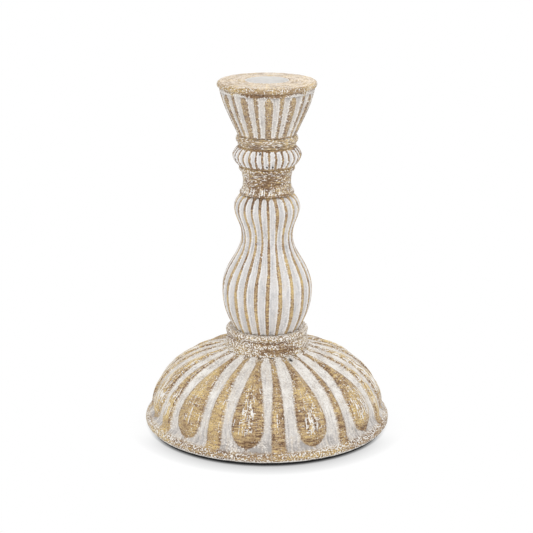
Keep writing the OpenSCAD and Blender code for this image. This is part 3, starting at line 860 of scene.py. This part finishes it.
def make_collar():
    band_top_r = COLLAR_R - COLLAR_TAPER
    groove_r = band_top_r - COLLAR_GROOVE
    half = FLANGE_T / 2
    groove_z = COLLAR_Z + COLLAR_BAND_H
    flange_z = groove_z + COLLAR_GROOVE_H + half
    dish_angle = 180 - math.degrees(math.asin((half - DISH_DEPTH) / half))
    flange_r = STEM_FOOT_R + DISH_GAP - half * math.cos(math.radians(dish_angle))
    outline = even_rows(
        line((COLLAR_R, COLLAR_Z), (band_top_r, groove_z - COLLAR_BREAK)),
        line((groove_r, groove_z + UNDER_BREAK)),
        arc(flange_r, flange_z, half, FLANGE_START, dish_angle, 30),
        line((STEM_FOOT_R - STEM_LAP, STEM_Z)),
    )

    def values(angle, r, z):
        # More white chips inside the dish: painted light that pales the dish's shade
        dish = smooth((flange_r + 0.4 - r) / 1.2) * smooth((z - flange_z) / 1.0)
        return {"stain": patches(angle, z, COLLAR_Z, COLLAR_STAINS), "crest": smooth((z - flange_z) / 1.5),
                "rub": 1.1 + 0.3 * dish}

    paint = PaintedWood(
        "collar_paint", chips=0.09, flecks=0.21, lines=0.7, cream=0.2, soft=0.03, grain=(1.05, 1.2),
    )
    lathe("turned_collar", "stem_collar", paint, outline, [(LOWER_BORE, COLLAR_Z)],
          [(LOWER_BORE, STEM_Z)], 360, carve_plain(21, 0.1, values))


# Stem: vase shape with flutes from end to end
BELLY_Z = STEM_Z + BELLY_H
WAIST_Z = BELLY_Z + TAPER_H
SHOULDER_Z = WAIST_Z + RISE_H

# Patches on the stem: a grey spot over its foot and greyer at its waist, stains at its belly and under its
# top
STEM_FOOT_GREY = ((4, 1, 6, 1.5, 1.0),)
WAIST_GREY = ((0, 0, ALL, 9, 0.5),)
BELLY_STAINS = ((FLUTE_TURN, 0, 14, 18, 0.5),)
STEM_TOP_STAINS = ((-24, 0, 22, ALL, 1.0),)


def stem_outline():
    z = np.linspace(STEM_Z, NECK_Z, 400)
    low = mix(BELLY_R, STEM_FOOT_R, unit(1 - (z - STEM_Z) / BELLY_H) ** 2)
    taper = mix(BELLY_R, WAIST_R, wave((z - BELLY_Z) / TAPER_H, FULLNESS))
    rise = mix(WAIST_R, SHOULDER_R, wave((z - WAIST_Z) / RISE_H, FULLNESS))
    top = mix(SHOULDER_R, STEM_TOP_R, unit((z - SHOULDER_Z) / (NECK_Z - SHOULDER_Z)) ** 2)
    r = np.select([z < BELLY_Z, z < WAIST_Z, z < SHOULDER_Z], [low, taper, rise], top)
    return even_rows(np.c_[r, z], step=0.5)


def flute_depth(turn, r, pitch, ridge_angle, deep):
    """Depth of a flute and distance past its ridge, for angles from the middle of the nearest ridge."""
    x = np.abs(np.radians(turn)) * r
    ridge_half = math.radians(ridge_angle / 2) * r
    flute_half = math.radians(pitch / 2) * r - ridge_half
    t = unit((x - ridge_half) / flute_half)
    crown = FLUTE_CROWN * unit(x / ridge_half) ** 2
    return crown * (1 - t) + deep * (1 - (1 - t) ** 2), x - ridge_half


def carve_stem(angle, r, z, run):
    drift = SWAY * np.exp(-((z - WAIST_Z) / SWAY_REACH) ** 2)
    drift = drift - UNEVEN * np.cos(3 * np.radians(angle - UNEVEN_TURN))
    drift = drift + 0.5 * ripple(angle, run, 31, 6, 40)
    pitch = 360 / FLUTES
    turn = from_nearest(angle - drift, FLUTE_TURN, pitch)
    depth, edge = flute_depth(turn, r, pitch, math.degrees(RIDGE_W / BELLY_R), FLUTE_DEPTH * r / BELLY_R)
    edge = edge + 0.2 * ripple(angle, run, 32, 30, 20) - 0.6 * smooth((z - NECK_Z + 1.6) / 1.6)
    # Greyer under the neck; the negative term pales the flutes' feet, painted light against the shade where
    # the stem meets the collar
    grime = 0.15 * smooth((z - NECK_Z + 3) / 3) - 0.7 * smooth((STEM_Z + 3 - z) / 2.5)
    grime = grime + patches(angle, z, STEM_Z, STEM_FOOT_GREY) + patches(angle, z, WAIST_Z, WAIST_GREY)
    shoulder = smooth((z - NECK_Z + 20) / 14) * smooth(0.6 + ripple(angle, run, 35, 9, 60))
    stain = 0.3 * smooth(ripple(angle, run, 34, 9, 25)) + 0.35 * shoulder
    stain = stain + patches(angle, z, BELLY_Z, BELLY_STAINS)
    stain = stain + smooth((z - NECK_Z + 8) / 5) * patches(angle, z, NECK_Z, STEM_TOP_STAINS)
    depth = depth + unevenness(angle, run, 33, 0.03, along=8)
    return {"depth": depth, "edge": edge, "grime": grime, "stain": stain}


def make_stem():
    below = [(0, LOWER_TOP), (LOWER_BORE, LOWER_TOP), (LOWER_BORE, STEM_Z)]
    above = [(UPPER_BORE, NECK_Z), (UPPER_BORE, UPPER_Z), (0, UPPER_Z)]
    paint = PaintedWood(
        "stem_paint", wash=(-0.1, 0.3), ragged=0.6, chips=0.03, tone=-0.01, lines=0.3, streaks=0.9,
        bright=-0.01, chalk=PALE_CHALK, blotch=0.1, sheer=0.15,
    )
    lathe("carved_stem", "baluster", paint, stem_outline(), below, above, FLUTES * 24,
          carve_stem)


# Patches on the neck, over its narrowest level
NECK_STAINS = (
    (-9, 2.5, 36, 7, 1.25), (150, 2, 60, 6, 0.5), (-52, 0, 18, ALL, -0.15), (55, 0, 20, ALL, 0.25),
)
NECK_BEAD_STAINS = ((-3, 0, 60, ALL, 0.6),)
NECK_STROKES = ((-22, 4.5, 30, 2.5, 0.3),)


def make_neck():
    hollow_low, hollow_high = NECK_Z + NECK_BEAD_H, KNOP_Z - NECK_FILLET_H
    narrow_z = hollow_low + HOLLOW_LOW
    z = np.linspace(hollow_low, hollow_high, 60)
    low_r, high_r = NECK_BEAD_R - NECK_BEAD_H / 4, NECK_FILLET_R - NECK_FILLET_H / 2
    r = HOLLOW_R + (low_r - HOLLOW_R) * unit((narrow_z - z) / HOLLOW_LOW) ** 2
    r = r + (high_r - HOLLOW_R) * unit((z - narrow_z) / (hollow_high - narrow_z)) ** 2
    outline = even_rows(
        swelling(NECK_BEAD_R, NECK_Z, NECK_BEAD_H, NECK_BEAD_H / 4),
        np.c_[r, z],
        swelling(NECK_FILLET_R, hollow_high, NECK_FILLET_H, NECK_FILLET_H / 4),
    )

    def values(angle, r, z):
        bead = smooth((hollow_low - z) / 0.8)
        low = smooth((narrow_z - z) / 2)
        stain = patches(angle, z, narrow_z, NECK_STAINS)
        stain = stain + bead * patches(angle, z, narrow_z, NECK_BEAD_STAINS)
        sweep = (1 - low) * (0.5 + patches(angle, z, narrow_z, NECK_STROKES))
        return {"stain": stain, "crest": 0.95 * low * (1 - 0.5 * bead), "sweep": sweep}

    paint = PaintedWood(
        "neck_paint", chips=0.065, flecks=0.24, tone=0.02, lines=1.4, strokes=0.28, hair=(2.0, 0.18),
        soft=0.03, grain=(0.8, 1.4),
    )
    lathe("turned_neck", "neck_ring", paint, outline, [(UPPER_BORE, NECK_Z)],
          [(UPPER_BORE, KNOP_Z)], 320, carve_plain(41, 0.07, values))


# Small holes in the knop, painted near black as painted shade, over its lower end, and a stained front
KNOP_H = RING_Z - KNOP_Z
PIT_PLACES = ((-13, KNOP_H - 1.6), (0, 1.7), (11, 1.7), (170, 1.6))
KNOP_PITS = [(at, up, 1.8, 0.6, 1.2) for at, up in PIT_PLACES]
KNOP_STAINS = ((0, 0, 30, ALL, 0.3),)


def carve_knop(angle, r, z, run):
    pitch = 360 / KNOP_FLUTES
    turn = from_nearest(angle - 0.8 * ripple(angle, run, 51, 7, 30), KNOP_TURN, pitch)
    end = np.minimum(z - KNOP_Z, RING_Z - z) - KNOP_PLAIN
    deep = KNOP_DEPTH * np.sqrt(unit(end / KNOP_ROUND))
    depth, edge = flute_depth(turn, r, pitch, math.degrees(KNOP_RIDGE_W / KNOP_R), deep)
    pit = patches(angle, z, KNOP_Z, KNOP_PITS)
    stain = 0.5 * smooth(ripple(angle, run, 53, 8, 15) + 0.2) + patches(angle, z, KNOP_Z, KNOP_STAINS)
    depth = depth + unevenness(angle, run, 52, 0.03) + 0.4 * pit
    return {"depth": depth, "edge": np.minimum(edge, end), "stain": stain, "pit": pit}


def make_knop():
    middle_z = KNOP_Z + KNOP_LOW_H
    z = np.linspace(KNOP_Z, RING_Z, 120)
    side = np.where(z < middle_z, (middle_z - z) / KNOP_LOW_H, (z - middle_z) / (RING_Z - middle_z))
    outline = even_rows(np.c_[mix(KNOP_END_R, KNOP_R, np.cos(np.pi / 2 * side)), z], step=0.25)
    paint = PaintedWood(
        "knop_paint", wash=(-0.05, 0.25), ragged=1.3, chips=0.02, flecks=0.2, tone=-0.03, chalk=PALE_CHALK,
        sheer=0.1, blotch=0.2,
    )
    lathe("carved_knop", "knop", paint, outline, [(UPPER_BORE, KNOP_Z)],
          [(UPPER_BORE, RING_Z)], KNOP_FLUTES * 18, carve_knop)


# Patches on the cup's ring, over its lower end
CUP_RING_STAINS = ((-8, 1.5, 25, 1.6, 0.8), (35, 1, 20, 1, 0.5))
CUP_RING_STROKES = ((25, 3, 32, 3, 0.45),)


def make_cup_ring():
    bead_z = RING_Z + BEAD_STEP_H
    bead_h = CUP_Z - bead_z
    outline = even_rows(
        line((BEAD_STEP_R - EDGE_BREAK, RING_Z), (BEAD_STEP_R, RING_Z + EDGE_BREAK), (BEAD_STEP_R, bead_z)),
        swelling(BEAD_R, bead_z, bead_h, bead_h / 3),
        step=0.3,
    )

    def values(angle, r, z):
        return {"stain": patches(angle, z, RING_Z, CUP_RING_STAINS),
                "sweep": 0.45 + patches(angle, z, RING_Z, CUP_RING_STROKES)}

    paint = PaintedWood(
        "cup_ring_paint", chips=0.035, flecks=0.2, tone=0.05, lines=1.3, strokes=0.17, hair=(2.0, 0.16),
        soft=0.05, grain=(0.5, 1.5), dust=0.1,
    )
    lathe("turned_cup_ring", "cup_ring", paint, outline, [(UPPER_BORE, RING_Z)],
          [(UPPER_BORE, CUP_Z)], 320, carve_plain(61, 0.08, values))


# Cup: trumpet with wide and narrow ribs
def carve_cup(angle, r, z, run):
    pitch = 360 / CUP_RIBS
    x = np.abs(np.radians(from_nearest(angle - 0.7 * ripple(angle, run, 71, 6, 40), CUP_TURN, pitch))) * r
    half_pitch = math.radians(pitch / 2) * r
    top = RIM_Z - z
    rounded = np.sqrt(unit((top - WIDE_RIB_GAP) / WIDE_RIB_ROUND))
    wide_half = WIDE_RIB_W / 2 * r / CUP_TOP_R * rounded
    narrow_half = NARROW_RIB_W / 2 * r / CUP_TOP_R
    past_wide, past_narrow = x - wide_half, half_pitch - x - narrow_half
    deep = CUP_GROOVE_DEPTH * r / CUP_TOP_R * np.sqrt(unit((z - CUP_Z - CUP_PLAIN) / CUP_RUNOUT))
    t = unit(past_wide / (half_pitch - wide_half - narrow_half))
    edge_depth = mix(mix(WIDE_RIB_CROWN, deep, 1 - rounded), NARROW_RIB_DROP, t)
    groove = edge_depth + (deep - edge_depth) * (1 - np.abs(2 * t - 1) ** CUP_GROOVE_ROUND)
    rib = mix(WIDE_RIB_CROWN * unit(x / np.maximum(wide_half, LEAST_W)) ** 2, deep, 1 - rounded)
    depth = np.where(past_wide < 0, rib, np.where(past_narrow < 0, NARROW_RIB_DROP, groove))
    edge = np.minimum(np.minimum(past_wide - 0.3, past_narrow - 0.15), z - CUP_Z - 0.5)
    # The top of the grooves, under the rim, is greyed with painted shade
    return {"depth": depth + unevenness(angle, run, 72, 0.04), "edge": edge,
            "grime": 0.4 * smooth((3 - top) / 3), "stain": 0.25 * smooth(ripple(angle, run, 73, 8, 20))}


def make_cup():
    t = np.linspace(0, 1, 160)
    u = 1 - t
    cup_h = RIM_Z - CUP_Z
    r = CUP_FOOT_R * u * u * (1 + 2 * t) + CUP_TOP_R * t * t * (1 + 2 * u)
    r = r + cup_h * t * u * (CUP_SLOPE_LOW * u - CUP_SLOPE_HIGH * t)
    outline = even_rows(np.c_[r, CUP_Z + cup_h * t], step=0.3)
    below = [(0, UPPER_TOP), (UPPER_BORE, UPPER_TOP), (UPPER_BORE, CUP_Z)]
    above = [(HOLE_R, RIM_Z), (HOLE_R, LINER_Z), (0, LINER_Z)]
    paint = PaintedWood(
        "cup_paint", wash=(-0.2, 0.45), ragged=1.2, chips=0.06, flecks=0.28, tone=-0.06, soft=0.04,
        speckle=1.5, streaks=0.8, bright=-0.05, blotch=0.35, dust=0.1, sheer=0.2, holes=0.05,
    )
    lathe("carved_cup", "candle_cup", paint, outline, below, above, CUP_RIBS * 44, carve_cup)


# Stained patches on the rim, over its lower step and over the middle of its edge
RIM_STEP_STAINS = ((-5, 0, 32, 0.9, 0.7), (0, 0.2, ALL, 0.6, 0.2))
RIM_EDGE_STAINS = ((0, -0.6, 50, 1.2, 0.15),)


def make_rim():
    step_top = RIM_Z + RIM_STEP_H
    under_r = RIM_STEP_R - UNDERCUT
    half = RIM_T / 2
    edge_top = TOP_Z - RIM_CROWN
    edge_z = edge_top - half
    outline = even_rows(
        line((RIM_STEP_R - EDGE_BREAK, RIM_Z), (RIM_STEP_R, RIM_Z + EDGE_BREAK)),
        line((RIM_STEP_R, step_top - STEP_BREAK), (RIM_STEP_R - STEP_BREAK, step_top)),
        line((under_r, step_top + UNDER_BREAK), (under_r, step_top + UNDERCUT_H)),
        arc(RIM_R - half, edge_z, half, RIM_START, 90, 24),
        line((HOLE_R + LIP_BEVEL, TOP_Z), (HOLE_R, TOP_Z - LIP_BEVEL)),
        step=0.35,
    )

    def values(angle, r, z):
        pitch = 360 / CUP_RIBS
        narrow_rib = np.exp(-(from_nearest(angle, CUP_TURN + pitch / 2, pitch) / 3.5) ** 2)
        white = mix(0.4, 1.9, smooth((away_from_front(angle) - 18) / 20)) - 1.2 * narrow_rib
        stain = patches(angle, z, step_top, RIM_STEP_STAINS) + patches(angle, z, edge_z, RIM_EDGE_STAINS)
        top = smooth((z - edge_top + 1.2) / 1.2)
        return {"stain": stain, "crest": top, "rub": 1 - 0.5 * top, "edge": RIM_Z + white - z}

    paint = PaintedWood(
        "rim_paint", chips=0.03, flecks=0.09, tone=-0.04, cream=0.72, soft=0.05, lines=0.25, speckle=0.55,
    )
    lathe("turned_rim", "drip_rim", paint, outline, [(HOLE_R, RIM_Z)],
          [(HOLE_R, TOP_Z - LIP_H)], 400, carve_plain(81, 0.07, values))


make_foot()
make_collar()
make_stem()
make_neck()
make_knop()
make_cup_ring()
make_cup()
make_rim()


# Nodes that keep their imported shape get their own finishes
def dress(node, material):
    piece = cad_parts[node]
    piece.data.materials.clear()
    piece.data.materials.append(material)


def felt():
    g = Graph(bpy.data.materials.new("felt"))
    fibres = g.noise(g.stretch(g.place(), (900, 900, 2500)), 1.0, 4.0, 0.7, 1.2)
    g.shade("Base Color", g.ramp(fibres, [(0.3, linear(18, 18, 20)), (0.7, linear(40, 41, 44))]))
    g.shade("Roughness", 0.95)
    g.shade("Sheen Weight", 0.2)
    g.bump(fibres, 0.6, 0.2 * MM)
    return g.owner


def dull_metal(name, light, dark, roughness, drawn, metallic=1.0):
    """Metal with fine scratches; drawn is how close they lie along each axis."""
    g = Graph(bpy.data.materials.new(name))
    scratches = g.noise(g.stretch(g.place(), drawn), 1.0, 3.0, 0.6)
    g.shade("Base Color", g.ramp(scratches, [(0.3, dark), (0.7, light)]))
    g.shade("Metallic", metallic)
    g.shade("Roughness", g.step(scratches, 0.2, 0.8, roughness, roughness + 0.2))
    g.bump(scratches, 0.2, 0.05 * MM)
    return g.owner


def bare_wood():
    g = Graph(bpy.data.materials.new("dowel_wood"))
    grain = g.noise(g.stretch(g.place(), (900, 900, 40)), 1.0, 4.0, 0.6, 0.8)
    pores = g.noise(g.stretch(g.place(), (2500, 2500, 160)), 1.0, 2.0, 0.5)
    wood = g.ramp(grain, [(0.3, linear(196, 156, 112)), (0.7, linear(222, 188, 146))])
    g.shade("Base Color", g.blend(g.step(pores, 0.6, 0.7, 0.0, 0.5), wood, BROWN))
    g.shade("Roughness", 0.7)
    g.bump(pores, 0.3, 0.1 * MM)
    return g.owner


LINER_GREYS = linear(244, 243, 241), linear(234, 232, 229)
STEEL_GREYS = linear(196, 198, 202), linear(160, 162, 168)

dress("base_pad", felt())
liner_metal = dull_metal("liner_metal", *LINER_GREYS, roughness=0.5, drawn=(300, 300, 4000), metallic=0.1)
dress("candle_liner", liner_metal)
steel = dull_metal("screw_steel", *STEEL_GREYS, roughness=0.3, drawn=(1500, 1500, 1500))
dress("foot_screw", steel)
dress("screw_washer", steel)
dowel_wood = bare_wood()
dress("upper_dowel", dowel_wood)
dress("lower_dowel", dowel_wood)

# Floor, in metres: white to the camera, with soft shadows close round the foot.
# A shadow is its reach, its lean towards the back, and its strength at the sides and in front.
FLOOR_HALF = 4.0
SHADOWS = ((1.9 * MM, 0.5, 0.3, 1.0), (11.5 * MM, 0.9, 0.06, 0.6))


def light_left(g, ahead, distance, lean, aside, before):
    """Share of light that one shadow leaves on the floor."""
    facing = g.add("CombineXYZ", {"X": 0.0, "Y": lean, "Z": math.sqrt(1 - lean * lean)})
    inputs = {"Distance": distance, "Normal": facing.outputs["Vector"]}
    open_share = g.add("AmbientOcclusion", inputs, samples=16).outputs["AO"]
    return g.rest(g.times(g.rest(open_share), g.step(ahead, 0.0, 1.0, aside, before)))


def floor_white():
    g = Graph(bpy.data.materials.new("floor_white"))
    g.nodes.remove(g.shader)
    place_y = g.add("SeparateXYZ", {"Vector": g.place()}).outputs["Y"]
    ahead = g.step(place_y, -0.01, -0.05)
    shade = g.times(*(light_left(g, ahead, *shadow) for shadow in SHADOWS))
    glow = g.add("Emission", {"Color": (1, 1, 1, 1), "Strength": shade})
    plain = g.add("BsdfDiffuse", {"Color": (0.86, 0.86, 0.86, 1)})
    both = g.add("MixShader", {0: g.seen(), 1: plain.outputs["BSDF"], 2: glow.outputs["Emission"]})
    g.put(g.nodes["Material Output"].inputs["Surface"], both.outputs["Shader"])
    return g.owner


def make_floor():
    mesh = bpy.data.meshes.new("floor")
    corners = [(x * FLOOR_HALF, y * FLOOR_HALF, 0) for x, y in ((-1, -1), (1, -1), (1, 1), (-1, 1))]
    mesh.from_pydata(corners, [], [(0, 1, 2, 3)])
    mesh.materials.append(floor_white())
    floor = bpy.data.objects.new("floor", mesh)
    bpy.context.scene.collection.objects.link(floor)


# World: white where it is seen, a little less as light
WORLD_LIGHT = 0.92


def make_world():
    world = bpy.data.worlds.new("studio")
    bpy.context.scene.world = world
    g = Graph(world, "Background")
    strength = g.add("MapRange", {"Value": g.seen(), "To Min": WORLD_LIGHT, "To Max": 1.0})
    g.shade("Color", (1, 1, 1, 1))
    g.shade("Strength", strength.outputs["Result"])


# Lamps, in metres and watts, are aimed at the middle of the stick
LAMP_AIM = (0, 0, 0.09)


def make_lamp(name, place, size, power):
    data = bpy.data.lights.new(name, "AREA")
    data.shape = "DISK"
    data.size = size
    data.energy = power
    lamp = bpy.data.objects.new(name, data)
    lamp.location = place
    aim = np.array(LAMP_AIM) - np.array(place)
    pan = math.atan2(aim[0], -aim[1])
    tilt = math.atan2(math.hypot(aim[0], aim[1]), -aim[2])
    lamp.rotation_euler = (tilt, 0, pan + math.pi)
    bpy.context.scene.collection.objects.link(lamp)


def make_camera():
    data = bpy.data.cameras.new("camera")
    data.sensor_width = SENSOR_W
    data.lens = CAMERA_LENS
    camera = bpy.data.objects.new("camera", data)
    camera.location = [c * MM for c in CAMERA_PLACE]
    camera.rotation_euler = (math.radians(90 - CAMERA_PITCH), 0, 0)
    bpy.context.scene.collection.objects.link(camera)
    bpy.context.scene.camera = camera


make_floor()
make_world()
make_lamp("key", place=(0.05, -1.5, 1.0), size=0.9, power=6.5)
make_lamp("fill", place=(0.3, 1.3, 0.9), size=0.9, power=3)
make_camera()
bpy.context.scene.view_settings.view_transform = "Standard"
